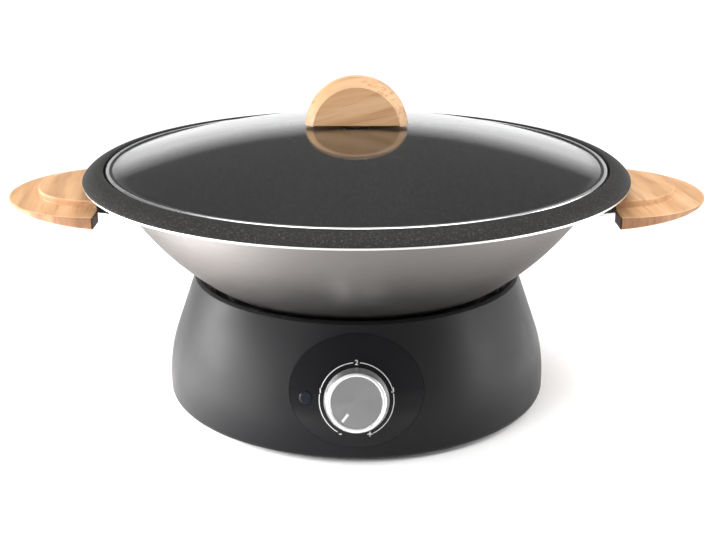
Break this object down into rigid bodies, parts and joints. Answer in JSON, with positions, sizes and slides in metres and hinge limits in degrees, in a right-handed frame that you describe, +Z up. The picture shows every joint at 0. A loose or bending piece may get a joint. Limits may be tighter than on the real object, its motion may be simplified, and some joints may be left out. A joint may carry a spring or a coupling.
{
  "type": "electric wok",
  "caption": "Table-top electric wok: a wide lift-off pan with half-round beech handles and a domed glass lid on a round heated base with a thermostat knob.",
  "frame": {"origin": "centre of the base on the surface that it stands on", "axes": "+Z up; the knob and its panel face -Y; the two handles lie along +X and -X"},
  "size_m": [0.4648, 0.36, 0.215],
  "materials": {
    "shell_black": "satin, fine moulded grain",
    "steel_sheet": "zinc plated sheet",
    "rubber_black": "matt",
    "screw_steel": "plated",
    "reflector_steel": "aluminised sheet",
    "cast_aluminium": "turned casting",
    "element_sheath": "heat tinted",
    "panel_black": "high gloss",
    "lens_smoke": "smoky clear",
    "lamp_ivory": "satin",
    "thermostat_body": "glazed",
    "copper": "drawn tube",
    "ceramic_white": "glazed",
    "lead_red": "silicone",
    "inlet_black": "moulded",
    "contact_brass": "plated blades",
    "knob_silver": "satin silver with a bright edge",
    "disc_satin": "fine turned satin",
    "spindle_steel": "drawn",
    "pan_metal": "satin outside, grey speckled non-stick inside and on the rim",
    "bracket_steel": "satin",
    "beech": "oiled beech",
    "lid_clear": "clear toughened",
    "band_steel": "polished",
    "washer_black": "matt"
  },
  "bodies": {
    "base": {"base_shell": "shell_black", "bottom_plate": "steel_sheet", "feet": "rubber_black", "base_screws": "screw_steel", "reflector": "reflector_steel", "reflector_screws": "screw_steel", "heating_plate": "cast_aluminium", "heating_element": "element_sheath", "plate_screws": "screw_steel", "control_panel": "panel_black", "pilot_lens": "lens_smoke", "pilot_lamp": "lamp_ivory", "thermostat": "thermostat_body", "thermostat_nut": "screw_steel", "sensor_tube": "copper", "terminal_block": "ceramic_white", "thermal_fuse": "ceramic_white", "wiring": "lead_red", "inlet_shell": "inlet_black", "inlet_pins": "contact_brass"},
    "knob": {"control_knob": "knob_silver", "knob_disc": "disc_satin", "spindle": "spindle_steel"},
    "pan": {"pan_bowl": "pan_metal", "bracket_left": "bracket_steel", "bracket_right": "bracket_steel", "handle_left": "beech", "handle_right": "beech", "handle_screws_left": "screw_steel", "handle_screws_right": "screw_steel"},
    "lid": {"lid_glass": "lid_clear", "lid_band": "band_steel", "lid_grip": "beech", "grip_washer": "washer_black", "inner_washer": "band_steel", "lid_screw": "screw_steel"}
  },
  "joints": [
    {"name": "pan_lift", "type": "slide", "parent": "base", "child": "pan", "axis": [0, 0, 1], "range_m": [0, 0.2]},
    {"name": "lid_lift", "type": "slide", "parent": "pan", "child": "lid", "axis": [0, 0, 1], "range_m": [0, 0.15]},
    {"name": "knob_turn", "type": "hinge", "parent": "base", "child": "knob", "pos_m": [0, -0.12523, 0.0405], "axis": [0, -0.9581, 0.2866], "range_deg": [-301, 13.5]}
  ]
}
